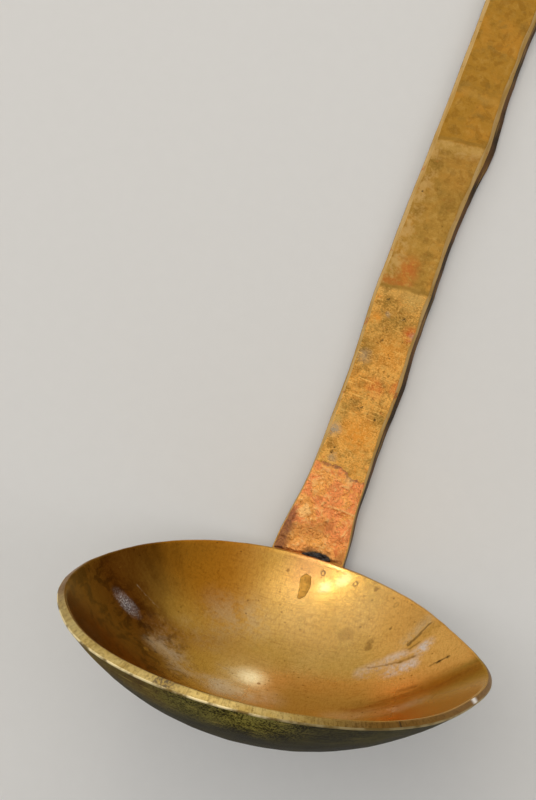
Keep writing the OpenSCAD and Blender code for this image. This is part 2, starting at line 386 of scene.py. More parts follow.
# Camera, floor and light
cameraLook = {
    "at": (0.05639, -0.12671, 0.6813),
    "look": (-0.11905, 0.03287, -0.99234),
    "up": (-0.34519, 0.93574, 0.07241),
    "lens": 113.92,
    "sensor": 36,
}
floorLook = {"size": 6.0, "drop": 0.0002, "paper": (0.81, 0.82, 0.83), "shade": (0.7857, 0.7954, 0.8051)}
lightLook = {
    "world": (1.0, 0.98, 0.95),
    "worldStrength": 0.36,
    "panels": (  # name, direction from the bowl, distance, side, brightness, colour
        ("keyLeft", (-0.4, 0.735, 0.56), 1.1, 0.065, 11.0, (1.0, 0.9, 0.7)),
        ("keyRight", (-0.316, 0.785, 0.54), 1.1, 0.075, 13.0, (1.0, 0.9, 0.7)),
        ("lift", (-0.1, 0.84, 0.54), 1.15, 0.28, 0.7, (1.0, 0.84, 0.64)),
        ("fill", (-0.34, 0.82, 0.46), 1.2, 0.55, 0.18, (1.0, 0.84, 0.64)),
        ("middle", (-0.3, 0.84, 0.42), 1.22, 0.95, 0.18, (1.0, 0.84, 0.64)),
        ("outer", (-0.26, 0.86, 0.4), 1.26, 1.4, 0.16, (1.0, 0.84, 0.64)),
        ("back", (-0.22, 0.88, 0.38), 1.3, 2.0, 0.16, (1.0, 0.84, 0.64)),
        ("overhead", (-0.2, 0.05, 1.0), 1.4, 1.5, 0.94, (1.0, 0.945, 0.86)),
        ("side", (-0.95, 0.25, 0.3), 1.2, 0.8, 1.1, (1.0, 0.97, 0.92)),
        ("right", (0.75, 0.05, 0.66), 1.2, 0.6, 0.9, (1.0, 0.97, 0.92)),
    ),
}
thrownLook = {  # a small lamp in the place of the light that the bowl's wall throws on its bottom
    "at": (-0.0036, 0.0135, -0.019),  # in the bowl's own frame
    "towards": (-0.05, 0.25, 1.0),
    "distance": 0.7,
    "angle": 1.3,
    "power": 11.0,
    "size": 0.004,
    "colour": (1.0, 0.9, 0.7),
}


def addCamera():
    look = Vector(cameraLook["look"]).normalized()
    up = Vector(cameraLook["up"])
    up = (up - up.dot(look) * look).normalized()
    axes = Matrix((look.cross(up), up, -look)).transposed().to_4x4()
    data = bpy.data.cameras.new("camera")
    data.lens = cameraLook["lens"]
    data.sensor_width = cameraLook["sensor"]
    camera = addObject("camera", data)
    camera.matrix_world = Matrix.Translation(cameraLook["at"]) @ axes
    bpy.context.scene.camera = camera


def addFloor():
    mesh = bmesh.new()
    bmesh.ops.create_grid(mesh, x_segments=1, y_segments=1, size=floorLook["size"] / 2)
    bmesh.ops.translate(mesh, verts=mesh.verts, vec=(0, 0, -floorLook["drop"]))
    data = meshData("floor", mesh)
    made = Finish("floorPaper", floorLook)
    made.base(made.cloud(4, detail=4.0), "shade", "paper")
    data.materials.append(made.surface(rough=0.85, metal=0.0, more={"Specular IOR Level": 0.2}))
    floor = addObject("floor", data)


def addLamp(name, kind, target, towards, distance, power, colour):
    towards = Vector(towards).normalized()
    data = bpy.data.lights.new(name, kind)
    data.energy = power
    data.color = colour
    lamp = addObject(name, data)
    lamp.location = target + towards * distance
    lamp.rotation_euler = towards.to_track_quat("Z", "Y").to_euler()
    return data


def addLights():
    world = bpy.data.worlds.new("studio")
    world.use_nodes = True
    sky = world.node_tree.nodes["Background"]
    sky.inputs["Color"].default_value = (*lightLook["world"], 1)
    sky.inputs["Strength"].default_value = lightLook["worldStrength"]
    bpy.context.scene.world = world
    low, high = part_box("bowl")
    middle = (Vector(low) + Vector(high)) / 2
    for name, towards, distance, side, bright, colour in lightLook["panels"]:
        lamp = addLamp(name, "AREA", middle, towards, distance, bright * math.pi * side * side, colour)
        lamp.size = side
    look = thrownLook
    bottom = layDown @ Vector(look["at"])
    lamp = addLamp(
        "thrown", "SPOT", bottom, look["towards"], look["distance"], look["power"], look["colour"],
    )
    lamp.spot_size = math.radians(look["angle"])
    lamp.spot_blend = 1.0
    lamp.shadow_soft_size = look["size"]


bpy.context.scene.view_settings.view_transform = "Standard"
addCamera()
addFloor()
addLights()
print("camera, floor and light ready")

# Bowl
bowlLook = {
    "sides": 320,
    "rings": 60,
    "outerEdge": 0.00045,  # rounding of the rim's outer edge
    "innerEdge": 0.0008,
    "edgeSteps": 4,
    "rimSteps": 5,
    "blowSize": 0.0075,
    "blowDepth": 0.00016,
    "fileSize": 0.0022,
    "fileDepth": 0.00004,
    "waveSize": 0.017,
    "waveHeight": 0.00008,
    "rippleSize": 0.006,
    "rippleHeight": 0.000018,
    "rimWave": 0.00022,
    "rimWaves": ((0.6, 4), (0.4, 13)),  # share and fineness
    "rimDrop": 0.8,  # keeps the waves below the plain rim
    "rimNear": 40,  # the more, the closer to the rim its waves keep
    "calmNear": 30,
    "calmOut": 0.6,  # share of the hammering that is filed away at the rim
    "calmIn": 0.5,
    "crowd": 0.85,  # below 1 sets the rings closer towards the rim
    "sharp": 40,
}
plugForm = {  # the rivet's end inside the bowl: corners across and down the wall, from its own middle
    "inset": 0.0065,
    "side": 0.0016,
    "corners": (
        (-0.0017, -0.00215), (-0.0005, -0.0038), (0.00115, -0.00315), (0.0017, -0.0001),
        (0.00105, 0.00287), (-0.00015, 0.00415), (-0.00095, 0.00395), (-0.00117, 0.00065),
    ),
    "round": 0.00035,
    "gap": 0.00003,
    "cut": (-0.006, 0.004),  # from inside the bowl to outside it
}


# Rows run from the underside over the rim to the inside: q, share of the thickness and a further depth.
def wallRows():
    look = bowlLook
    perMetre = math.cos(wallSlope(1)) / bowlForm["radius"]
    turns = [math.radians(90) * i / (look["edgeSteps"] + 1) for i in range(look["edgeSteps"] + 2)]
    up = [(i / look["rings"]) ** look["crowd"] for i in range(look["rings"])]
    outer = look["outerEdge"]
    inner = look["innerEdge"]
    rows = [(q * (1 - outer * perMetre), 0.0, 0.0) for q in up]
    rows += [(1 - outer * perMetre * (1 - math.sin(a)), 0.0, outer * (1 - math.cos(a))) for a in turns]
    for i in range(1, look["rimSteps"]):
        share = i / look["rimSteps"]
        rows.append((1.0, share, outer * (1 - share) - inner * share))
    for a in reversed(turns):
        rows.append((1 - inner * perMetre * (1 - math.sin(a)), 1.0, -inner * (1 - math.cos(a))))
    return rows + [(q * (1 - inner * perMetre), 1.0, 0.0) for q in reversed(up)]


def bowlPoint(q, share, inward, bearing):  # share is 0 outside and 1 inside
    look = bowlLook
    normal = wallNormal(q, bearing)
    place = wallOut(q, bearing)
    hammered = blows(place, look["blowSize"], look["blowDepth"])
    hammered += wobble(place, look["fileSize"], look["fileDepth"])
    planished = wobble(place, look["waveSize"], look["waveHeight"])
    planished += wobble(place + Vector((0.3, 0, 0)), look["rippleSize"], look["rippleHeight"])
    calm = q ** look["calmNear"]
    skin = (1 - share) * hammered * (1 - look["calmOut"] * calm)
    skin += share * planished * (1 - look["calmIn"] * calm)
    around = Vector((math.sin(bearing), math.cos(bearing), 0))
    wave = sum(part * noise.noise(around * fineness) for part, fineness in look["rimWaves"])
    uneven = look["rimWave"] * (wave - look["rimDrop"]) * q ** look["rimNear"]
    return place + normal * (skin - share * wallThick(q, bearing) - inward) + wallRise(q, bearing) * uneven


plugQ = 1 - plugForm["inset"] / bowlForm["radius"]
plugFrame = (
    layDown
    @ Matrix.Translation(wallOut(plugQ, 0))
    @ Matrix.Rotation(math.pi + wallSlope(plugQ), 4, "X")
    @ Matrix.Translation((plugForm["side"], 0, 0))
)  # z points out of the bowl and y down the wall


def vertsOf(made):
    return [item for item in made["geom"] if isinstance(item, bmesh.types.BMVert)]


def facesOf(made):
    return [item for item in made["geom"] if isinstance(item, bmesh.types.BMFace)]


def plugPrism(grow, bottom, top):  # upright plug of the rivet's outline, and its top face
    mesh = bmesh.new()
    corners = []
    for x, y in plugForm["corners"]:
        corners.append(mesh.verts.new((x + math.copysign(grow, x), y + math.copysign(grow, y), bottom)))
    mesh.faces.new(corners)
    bmesh.ops.bevel(
        mesh, geom=mesh.verts[:], affect="VERTICES", offset=plugForm["round"], offset_type="OFFSET",
        segments=4, profile=0.5, material=-1,
    )
    made = bmesh.ops.extrude_face_region(mesh, geom=mesh.faces[:])
    bmesh.ops.translate(mesh, verts=vertsOf(made), vec=(0, 0, top - bottom))
    return mesh, facesOf(made)


def addBowl():
    rows = wallRows()
    rimFrom = bowlLook["rings"]
    rimIn = rimFrom + bowlLook["edgeSteps"] + 1
    rimTo = len(rows) - bowlLook["rings"] - bowlLook["edgeSteps"]
    mesh = spun([(0, i + 1, 0) for i in range(len(rows))], bowlLook["sides"])
    for face in mesh.faces:
        row = face.calc_center_median().length - 1
        face.material_index = sum(row > edge for edge in (rimFrom, rimIn, rimTo))
    for vert in mesh.verts:
        row = min(len(rows) - 1, max(0, round(vert.co.length) - 1))
        bearing = math.atan2(vert.co.x, vert.co.y)
        vert.co = layDown @ bowlPoint(*rows[row], bearing)
    finishes = [patinaAndShadeFinish(), edgeFinish(), rimFinish(), polishedFinish()]
    bowl = addPiece("ladleBowl", mesh, finishes, "bowl")
    cutter = plugPrism(plugForm["gap"], *plugForm["cut"])[0]
    bmesh.ops.transform(cutter, matrix=plugFrame, verts=cutter.verts)
    cutAway(bowl, cutter, bowlLook["sharp"])


polishLook = {  # places are in millimetres, across and towards the handle from the middle of the bowl
    "gold": (0.69, 0.425, 0.098),
    "pale": (0.73, 0.475, 0.138),
    "rose": (0.84, 0.47, 0.12),
    "orange": (0.6, 0.355, 0.056),
    "russet": (0.55, 0.215, 0.012),
    "tarnishAndShade": (0.13, 0.043, 0.003),
    "olive": (0.46, 0.355, 0.082),
    "amber": (0.4, 0.28, 0.06),
    "deepAmber": (0.43, 0.225, 0.026),
    "brown": (0.33, 0.17, 0.03),
    "dark": (0.07, 0.03, 0.007),
    "flake": (0.66, 0.36, 0.07),
    "hazeAndReflection": (0.68, 0.57, 0.38),
    "windowReflection": (0.84, 0.74, 0.68),
    "salmon": (0.8, 0.4, 0.15),
    "shine": (0.92, 0.7, 0.28),
    "core": (1.0, 0.93, 0.62),
    "blue": (0.28, 0.31, 0.42),
    "ice": (0.85, 0.92, 1.0),
    "band": (0.34, 0.26, 0.18),
    "dulled": (0.72, 0.62, 0.46),
    "pore": (0.42, 0.32, 0.2),
    "rings": (  # place and strength
        (5.5, 49.6, 0.8), (14.6, 48, 0.65), (26.5, 42.3, 0.25), (-33.4, 4.5, 0.9),
    ),
    "ringSize": 0.5,
    "ringLine": 0.3,
    "spots": (  # place, size and strength
        (16.2, 35.4, 1.9, 0.38), (22.8, 31.3, 1, 0.7), (22.9, 33, 0.9, 0.6),
        (20.4, 46.7, 0.6, 0.65), (4.1, 35.3, 0.3, 0.7), (2.8, 24.5, 0.3, 0.6),
        (27, 36.2, 0.3, 0.8), (-1.2, 12, 0.5, 0.8), (-30.1, 3.9, 0.7, 0.8),
        (-3.8, 48.5, 0.4, 0.9), (19, 37.5, 0.3, 0.6), (11, 29, 0.3, 0.5),
    ),
    "hazesAndReflections": (  # pale haze on the polish, partly painted soft reflections: start, end, width and strength
        ((-15.6, 31.6), (-9.5, 33.5), 10, 0.34), ((-11.5, 13.5), (-6, 14.5), 3.6, 0.5),
        ((-29.2, 9.2), (-25, 11), 5.2, 0.46),
        ((-28, 15), (-24.5, 10.5), 7.2, 0.3), ((-24.5, 10.5), (-20.5, 5), 6, 0.26),
        ((-20.5, 5), (-11, 5.2), 6, 0.26), ((-11, 5.2), (-4, 10.5), 7.4, 0.3),
        ((-26.1, 13.5), (-22.2, 8.7), 0.5, 0.4), ((-38.6, 22.2), (-31.9, 21.6), 0.3, 0.5),
        ((-22.4, 21.5), (-16.8, 22), 7, 0.22),
        ((31.8, 31.2), (36.2, 36), 3, 0.4), ((33.5, 3), (39.5, 6.8), 3.6, 0.6),
    ),
    # painted reflections of bright windows: start, end, width and strength
    "windowReflections": (
        ((36, 27.2), (37.2, 28.8), 2.8, 1.0), ((29.6, 22.2), (34.5, 23.4), 3.6, 0.95),
        ((29, 26.6), (32.2, 27.6), 2.4, 0.6), ((23.6, 22.6), (26.8, 24.4), 3.6, 0.62),
    ),
    "brownMarks": (
        ((24.4, 24.4), (31.9, 25), 0.6, 0.75),
        ((31.9, 25), (35.2, 25.8), 0.8, 0.8), ((33.7, 13.3), (37.4, 13.9), 1.2, 0.7),
        ((24.5, 5.5), (34.7, 10), 2, 0.75), ((34.7, 10), (42.8, 11.4), 1.8, 0.7),
        ((42.8, 11.4), (49.9, 14.6), 1.4, 0.6), ((30, 9.5), (39, 12.5), 0.9, 0.65),
        ((27, 4.2), (36, 7.8), 1, 0.6), ((21.5, 6.2), (26.2, 4.6), 1.2, 0.5),
    ),
    "flakes": (((33.4, 29.7), (38.4, 34.1), 2.6, 0.9), ((31.8, 24.8), (35.2, 26.2), 1.4, 0.6)),
    "darkMarks": (
        ((32.4, 30.3), (36.8, 34.9), 0.4, 0.65), ((33.1, 28.6), (35.2, 30), 0.4, 0.6),
        ((41.3, 21.2), (41.7, 21.4), 0.6, 0.9), ((43.4, 22.1), (43.6, 22.2), 0.6, 0.8),
        ((39.8, 20.8), (41.5, 21.6), 0.3, 0.7), ((41.5, 21.6), (43.2, 22.3), 0.5, 0.8),
        ((32.6, 29.9), (35.2, 32.6), 0.3, 0.7), ((-36.2, 14.7), (-34.4, 12.5), 0.8, 0.8),
        ((-47.8, 5.6), (-47.1, 3.2), 0.8, 0.8), ((-33, 12), (-32.2, 10.5), 0.6, 0.6),
    ),
    "films": (  # dull film: start, end, width and strength
        ((-8.5, 4.6), (1, 5), 8.5, 1.0), ((19, 1), (33, 3), 5, 0.4),
    ),
    "glow": (-3.6, 13.5, 6.2),  # painted highlight: the light that the wall throws on the bottom, as a pale spot
    "glowCore": (-3.6, 13.5, 3.41),
    "glint": (-38.9, 14, 2.7),
    "glintSquash": 1.5,  # over 1 makes it shorter towards the handle
    "blush": (1.5, 51.2, 5),
    "lacquer": (10, 43, 14),  # the brightest polish is by the handle
}


def polishedFinish():
    look = polishLook
    made = Finish("polishedBrass", look, inBowl)
    x, y = made.parts()[:2]
    reach = made.away(x, y)
    turn = made.turn(x, y)
    broad = made.cloud(20, detail=4.0, twist=0.4)
    patchy = made.cloud(6, detail=4.0, twist=0.5)
    fine = made.cloud(1.1, rough=0.6)
    grains = made.cloud(0.4, detail=2.0, rough=0.6)
    rays = made.cloud(1, made.joined(turn / 0.045, reach / 20), detail=4.0)
    wiped = made.cloud(1, made.joined(turn / 0.016, reach / 30))
    bands = made.cloud(1, made.joined(turn / 0.1, reach / 2.6), detail=5.0, rough=0.65, twist=0.6)
    combed = made.cloud(0.34, made.stretched(1.0, 0.22, 0.22), detail=4.0, rough=0.7, twist=0.6)
    crossed = made.cloud(0.5, made.stretched(0.12, 1.0, 1.0), rough=0.65, twist=0.4)
    pores = made.cells(2.3).step(0.15, 0.06) * broad.step(0.44, 0.58)
    nearX = x + 1.2 * (patchy - 0.5) + 0.5 * (grains - 0.5)  # marks follow these, so that none is ruled
    nearY = y + 1.2 * (fine - 0.5) + 0.5 * (grains - 0.5)
    made.base(broad.step(0.35, 0.65), "gold", "pale")
    made.coat(patchy.step(0.5, 0.75) * 0.22, "olive")
    made.coat(wiped.step(0.45, 0.8) * 0.1, "brown")
    made.coat(fine.step(0.4, 0.65) * 0.16, "brown")
    made.coat((x + 6 * (broad - 0.5)).step(18, 32), "rose")
    low = x.step(-6, 8) * y.step(24, 8) * x.step(36, 24)
    made.coat(low * 0.85, "olive")
    leftwards = x + 0.4 * (y - 15)
    made.coat(leftwards.step(0, -22) * 0.9, "orange")
    upper = x.step(-3, -21) * (y + 6 * (broad - 0.5)).step(22, 36)
    made.coat(upper * 0.9, "russet")
    # the left wall darkens: partly tarnish, partly a painted dark reflection of shaded surroundings
    tarnishAndShade = (leftwards + 8 * (patchy - 0.5) + 8 * (rays - 0.5)).step(-17, -37)
    made.coat(tarnishAndShade * (0.88 + 0.12 * wiped), "tarnishAndShade")
    banded = (leftwards + 12 * (patchy - 0.5)).step(-15, -30) * y.step(26, 12)
    made.coat(banded * bands.step(0.47, 0.6) * 0.8, "band", "MULTIPLY")
    amber = (y - 0.36 * x + 3 * (patchy - 0.5)).step(3, -1.5) * x.step(16, 27)
    made.coat(amber * (0.65 + 0.35 * rays.step(0.4, 0.62)), "amber")
    far = (x + 4 * (patchy - 0.5)).step(34, 44) * y.step(21, 11)
    made.coat(far * 0.9, "deepAmber")
    made.coat(made.spot(nearX, nearY, look["blush"], 0.9) * 0.6, "salmon")
    uneven = 0.1 + 0.9 * (patchy + 0.8 * (fine - 0.5)).step(0.34, 0.64)
    rubbed = 0.45 + 0.55 * uneven
    layers = {
        "hazeAndReflection": ("hazesAndReflections", uneven), "windowReflection": ("windowReflections", uneven), "flake": ("flakes", rubbed),
        "brown": ("brownMarks", rubbed), "dark": ("darkMarks", 1.0),
    }
    for tone, (marks, cover) in layers.items():
        for *mark, strength in look[marks]:
            made.coat(made.stroke(nearX, nearY, *mark) * strength * cover, tone)
    film = 0.0
    for *mark, strength in look["films"]:
        film = (made.stroke(nearX, nearY, *mark) * (0.4 + 0.6 * uneven) * strength).most(film)
    made.coat(film * 0.8, "hazeAndReflection")
    # painted highlight: a pale spot with a brighter core where the wall throws light on the bottom
    made.coat(made.spot(nearX, nearY, look["glow"], 0.95) * 0.65, "shine")
    core = made.spot(nearX, nearY, look["glowCore"], 0.95)
    made.coat(core * 0.95, "core")
    for *mark, strength in look["spots"]:
        made.coat(made.spot(nearX, nearY, mark, 0.35) * strength, "brown")
    for *centre, strength in look["rings"]:
        made.coat(made.ring(nearX, y, centre, look["ringSize"], look["ringLine"]) * strength, "dark")
    across, along, size = look["glint"]
    sparkle = made.spot(nearX, (nearY - along) * look["glintSquash"], (across, 0.0, size), 0.95)
    made.coat(sparkle * 0.5, "blue")
    made.coat(sparkle * grains.step(0.48, 0.62) * 0.9, "ice")
    made.coat(grains.step(0.58, 0.72) * fine.step(0.45, 0.65) * 0.5, "brown")
    made.coat(combed.step(0.46, 0.64) * 0.5, "dulled", "MULTIPLY")  # fine wiping marks
    made.coat(crossed.step(0.5, 0.66) * 0.45, "dulled", "MULTIPLY")
    made.coat(pores * 0.9, "pore", "MULTIPLY")
    lacquer = made.spot(x, y, look["lacquer"], 0.5)
    return made.surface(
        rough=0.2 + 0.05 * broad + 0.05 * fine + 0.2 * sparkle + 0.16 * low,
        normal=made.bumps(fine + grains, 0.00002, 0.2),
        metal=1 - (0.7 * core).most(0.5 * film) - 0.5 * far * y.step(12, 4),
        more={"Coat Weight": lacquer, "Coat Roughness": 0.09, "Specular Tint": (1.0, 0.82, 0.55, 1.0)},
    )


rimLook = {
    "brass": (0.53, 0.375, 0.11),
    "bright": (0.62, 0.475, 0.18),
    "brown": (0.27, 0.125, 0.02),
    "worn": (0.45, 0.38, 0.3),
    "stain": (0.13, 0.1, 0.07),
    "crack": (0.06, 0.04, 0.02),
    "gleam": (1.0, 0.97, 0.92),
    "stainAt": 0.31,  # round from the side opposite the handle, in radians
    "crackAt": 0.8,
    "glint": (75.7, 53.7, 1.1),  # round the rim, out from the middle, and size
}


def rimFinish():
    look = rimLook
    made = Finish("filedRim", look, inBowl)
    x, y = made.parts()[:2]
    turn = made.turn(x, y)
    reach = made.away(x, y)
    grain = made.cloud(0.8, detail=4.0, rough=0.65)
    broad = made.cloud(5, detail=4.0)
    ticks = made.cloud(1, made.joined(turn / 0.007, reach / 5), detail=2.0)  # file marks across the rim
    made.base(broad.step(0.38, 0.62), "brass", "bright")
    # browner and darker towards the right, and painted shade at the far left end of the rim
    brownedAndShaded = (turn + 0.15 * (broad - 0.5)).step(0.15, 0.75).most(turn.step(-1.2, -1.45))
    made.coat(brownedAndShaded * 0.9, "brown")
    made.coat(ticks.step(0.5, 0.66) * 0.45, "worn", "MULTIPLY")
    made.coat(grain.step(0.48, 0.66) * 0.6, "worn", "MULTIPLY")
    stain = abs(turn + look["stainAt"] + 0.1 * (grain - 0.5)).step(0.1, 0.02)
    made.coat(stain * grain.step(0.35, 0.6) * 0.8, "stain")
    crack = abs(turn - look["crackAt"] + 0.008 * (grain - 0.5)).step(0.006, 0.002)
    made.coat(crack * 0.8, "crack")
    glint = made.spot(turn * (milli * bowlForm["radius"]), reach, look["glint"], 0.95)
    made.coat(glint, "gleam")
    normal = made.bumps(ticks + grain - crack, 0.0001, 0.35)
    return made.surface(rough=0.34 + 0.2 * grain, normal=normal, metal=1 - 0.8 * glint)


edgeTones = {"dull": (0.24, 0.16, 0.05), "bright": (0.95, 0.8, 0.45)}


def edgeFinish():  # the rim's outer edge: rubbed, and painted bright as a highlight, most on the left
    made = Finish("rubbedEdgeHighlight", edgeTones, inBowl)
    x, y = made.parts()[:2]
    worn = made.cloud(4.5, detail=4.0)
    left = made.turn(x, y).step(0.45, -0.1)
    made.base((0.25 + 0.75 * left) * worn.step(0.36, 0.56), "dull", "bright")
    return made.surface(rough=0.3 + 0.2 * worn)


patinaAndShadeTones = {
    "deep": (0.012, 0.01, 0.005),
    "olive": (0.04, 0.034, 0.012),
    "green": (0.37, 0.32, 0.092),
    "brown": (0.16, 0.08, 0.028),
    "worn": (0.5, 0.36, 0.1),
}


def patinaAndShadeFinish():
    made = Finish("darkPatinaAndShade", patinaAndShadeTones, inBowl)
    x, y, z = made.parts()
    turn = made.turn(x, y)
    reach = made.away(x, y)
    broad = made.cloud(14, detail=4.0)
    grain = made.cloud(0.7, detail=5.0, rough=0.75, twist=0.3)
    grit = made.cloud(0.45, detail=2.0, rough=0.6)
    scratch = made.cloud(1, made.joined(turn / 0.16, z / 1.1), twist=0.4)  # along the rim
    # green and worn near the rim, near black elsewhere and towards the right: partly the bowl's own
    # patina, partly painted shade on the underside
    nearRim = (reach + 5 * (broad - 0.5)).step(42, 50.5)
    nearRim = nearRim * (0.12 + 0.88 * (turn + 0.2 * (broad - 0.5)).step(0.44, 0.08))
    nearRim = nearRim * (0.65 + 0.35 * turn.step(-0.15, 0.05))
    made.base(broad.step(0.35, 0.65), "deep", "olive")
    mottled = grain + 0.25 * (scratch - 0.5) + 0.4 * (broad - 0.5) + 0.7 * (grit - 0.5)
    made.coat(nearRim * mottled.step(0.44, 0.57), "green")
    left = (turn + 0.4 * (broad - 0.5)).step(-0.18, -0.42) * nearRim
    made.coat(left * 0.75, "brown")
    made.coat(scratch.step(0.6, 0.7) * nearRim * 0.7, "worn")
    made.coat(grain.step(0.56, 0.66) * 0.7, "deep")
    return made.surface(
        rough=0.46 + 0.2 * broad,
        normal=made.bumps(grain + scratch + grit, 0.0002, 0.4),
        metal=0.15 + 0.75 * nearRim,
        more={"Specular IOR Level": 0.08, "Specular Tint": (0.55, 0.48, 0.22, 1.0)},
    )


# Handle
strapLook = {
    "soft": 0.00018,  # rounding of the section's corners
    "runs": (26, 4, 6, 2, 18, 2, 6, 4),  # faces along the front, right bevel, side, ease, back and so on
    "runFinish": (0, 1, 2, 2, 2, 2, 2, 1),
    "cornerSteps": 3,
    "footSteps": 30,
    "rootSteps": 26,
    "barStep": 0.00065,
    "tipSteps": 26,
    "ridgeHeight": 0.00014,
    "ridgeWidth": 0.0012,
    "blowSize": 0.009,
    "blowDepth": 0.0001,
    "grainSize": 0.0016,
    "grainHeight": 0.000018,
    "scallopSize": (0.014, 0.0085),  # left edge, right edge
    "scallopDepth": (0.00028, 0.00048),
    "bevelWave": (0.25, 0.55),
    "bevelWaveSize": 0.007,
    "bevelRoot": 0.55,  # share of the bevel that is left at the root
    "bevelFrom": 0.018,
    "bevelOver": 0.02,
    "bevelGain": 0.35,  # further width above the lowest panel
    "bevelGainFrom": 0.075,
    "fadeRoot": 0.02,  # lengths over which the hammering dies away
    "fadeTip": 0.01,
    "fadeTipEdge": 0.03,
    "tipTurn": 88,
    "tipLast": 0.994,  # share of the tip's radius where the end is closed
    "sharp": 50,
}


def panelWave(s):  # 0 where panels meet and 1 between, s runs along the strap from the rim
    marks = strapForm["marks"]
    for low, high in zip(marks, marks[1:]):
        if low < s < high:
            return math.sin(math.pi * ((s - low) / (high - low)) ** 0.8)
    return 0.0


def swayAt(s):  # slow bend of the whole bar
    form = strapForm
    wave = math.sin(math.pi * (s - form["swayFrom"]) / form["swayHalf"])
    fade = ease(s / form["swayFrom"]) * ease((form["length"] - form["tipLength"] - s) / form["swayFade"])
    return -form["sway"] * wave * fade


def wander(s, x, depth):  # how far the uneven edges stand aside
    form = strapForm
    left = 0.0
    right = 0.0
    back = form["sideLean"] * ease((s - form["rootLength"] / 2) / form["rootLength"])
    back *= ease((form["length"] - form["tipLength"] - s) / form["swayFade"])
    for at, spread, leftShift, rightShift, backShift in form["swells"]:
        near = math.exp(-(((s - at) / spread) ** 2))
        left += near * leftShift
        right += near * rightShift
        back += near * backShift
    right += back * depth / form["thick"]
    return left + (right - left) * (x / form["width"] + 0.5)


def barHalf(s):  # half the bar's width
    form = strapForm
    tip = form["tipWidth"] / 2
    plain = form["width"] / 2 - form["waist"] * panelWave(s)
    plain += (form["rootWidth"] - form["width"]) / 2 * (1 - ease(s / form["rootLength"]))
    past = s - form["length"] + tip
    plain += (tip - form["width"] / 2) * ease((past + form["tipLength"]) / form["tipLength"])
    return min(plain, math.sqrt(max(1e-9, tip * tip - past * past))) if past > 0 else plain


def strapOutline(half, thick, bevels, draft, drop):  # rounded section: across, depth below the front
    lip = strapForm["backEase"]
    left, right = bevels
    corners = [
        Vector(corner)
        for corner in (
            (left + draft - half, 0), (half - right - draft, 0), (half - draft, drop), (half, thick - lip),
            (half - lip, thick), (lip - half, thick), (-half, thick - lip), (draft - half, drop),
        )
    ]
    points = []
    for k, corner in enumerate(corners):
        ahead = corners[(k + 1) % len(corners)]
        before = corners[k - 1] - corner
        after = ahead - corner
        start = corner + before * min(0.45, strapLook["soft"] / max(before.length, 1e-9))
        step = after * min(0.45, strapLook["soft"] / max(after.length, 1e-9))
        for i in range(strapLook["cornerSteps"] + 1):
            t = i / strapLook["cornerSteps"]
            points.append((1 - t) ** 2 * start + 2 * t * (1 - t) * corner + t * t * (corner + step))
        count = strapLook["runs"][k]
        points += [(corner + step).lerp(ahead - step, i / count) for i in range(1, count)]
    return points


def strapFinish(column):  # which finish the faces of one column have
    for run, count in enumerate(strapLook["runs"]):
        faces = strapLook["cornerSteps"] + count
        if column < faces:
            return strapLook["runFinish"][run if column > strapLook["cornerSteps"] // 2 else run - 1]
        column -= faces


def barFront(x, s):  # height of the hammered front above the plain bar
    look = strapLook
    height = blows(Vector((x * 0.5, s, 0.5)), look["blowSize"], look["blowDepth"])
    height += wobble(Vector((x, s, 0)), look["grainSize"], look["grainHeight"])
    for mark, slant, strength in strapForm["ridges"]:
        away = (s - mark - slant * x) / look["ridgeWidth"]
        height += strength * look["ridgeHeight"] * math.exp(-away * away)
    return (height - strapForm["dish"] * panelWave(s)) * ease((strapForm["length"] - s) / look["fadeTip"])


def scallop(s, x):  # how far a hammered edge is beaten in
    look = strapLook
    side = 1 if x > 0 else 0
    beaten = blows(Vector((3.7 * side, s, 0.2)), look["scallopSize"][side], look["scallopDepth"][side])
    return beaten * ease(s / look["fadeRoot"]) * ease((strapForm["length"] - s) / look["fadeTipEdge"])


def barPoint(s, x, depth):  # along from the rim, across, and down from the front
    form = strapForm
    root = 1 - ease(s / form["cup"])
    sag = root * (bowlForm["radius"] - math.sqrt(bowlForm["radius"] ** 2 - x * x))
    pitch = math.radians(form["pitch"])
    tip = form["tipWidth"] / 2
    past = s - form["length"] + tip
    if past > 0 and depth < form["bevelHeight"]:  # the bevel goes on round the tip
        inside = tip - math.hypot(x, past)
        depth = max(depth, form["bevelHeight"] * max(0.0, 1 - inside / form["bevelWidth"]))
    lift = barFront(x, s) * max(0.0, 1 - depth / form["thick"]) * (1 - root)
    share = x / (form["width"] / 2)
    return Vector((
        x + swayAt(s) + wander(s, x, depth) + scallop(s, x) * share * abs(share),
        s - form["length"] / 2 - sag * math.cos(pitch) + root * x * math.sin(math.radians(form["lean"])),
        form["thick"] - depth + lift + sag * math.sin(pitch),
    ))


def bevelsAt(s):  # widths of the left and right bevel, how far they drop, and the sides' draft
    form = strapForm
    look = strapLook
    keep = ease(s / form["cup"]) * min(1.0, 4 * barHalf(s) / form["width"])
    root = look["bevelRoot"] + (1 - look["bevelRoot"]) * ease((s - look["bevelFrom"]) / look["bevelOver"])
    wide = []
    for side, wave in enumerate(look["bevelWave"]):
        uneven = 1 + wave * noise.noise(Vector((s / look["bevelWaveSize"], 5 + 9 * side, 0)))
        uneven += look["bevelGain"] * ease((s - look["bevelGainFrom"]) / look["bevelOver"])
        wide.append(max(form["thin"], keep * root * form["bevelWidth"] * uneven))
    drop = form["bevelHeight"] * root
    return wide, drop + (1 - keep) * (form["footDrop"] - drop), max(form["thin"], keep * form["draft"])


def barOutline(s):
    bevels, drop, draft = bevelsAt(s)
    return strapOutline(barHalf(s), strapForm["thick"], bevels, draft, drop)


def footHalf(f):  # f runs from 0 at the rim to 1 at the foot's end
    return strapForm["rootWidth"] / 2 * math.sqrt(1 - f ** strapForm["footRound"])


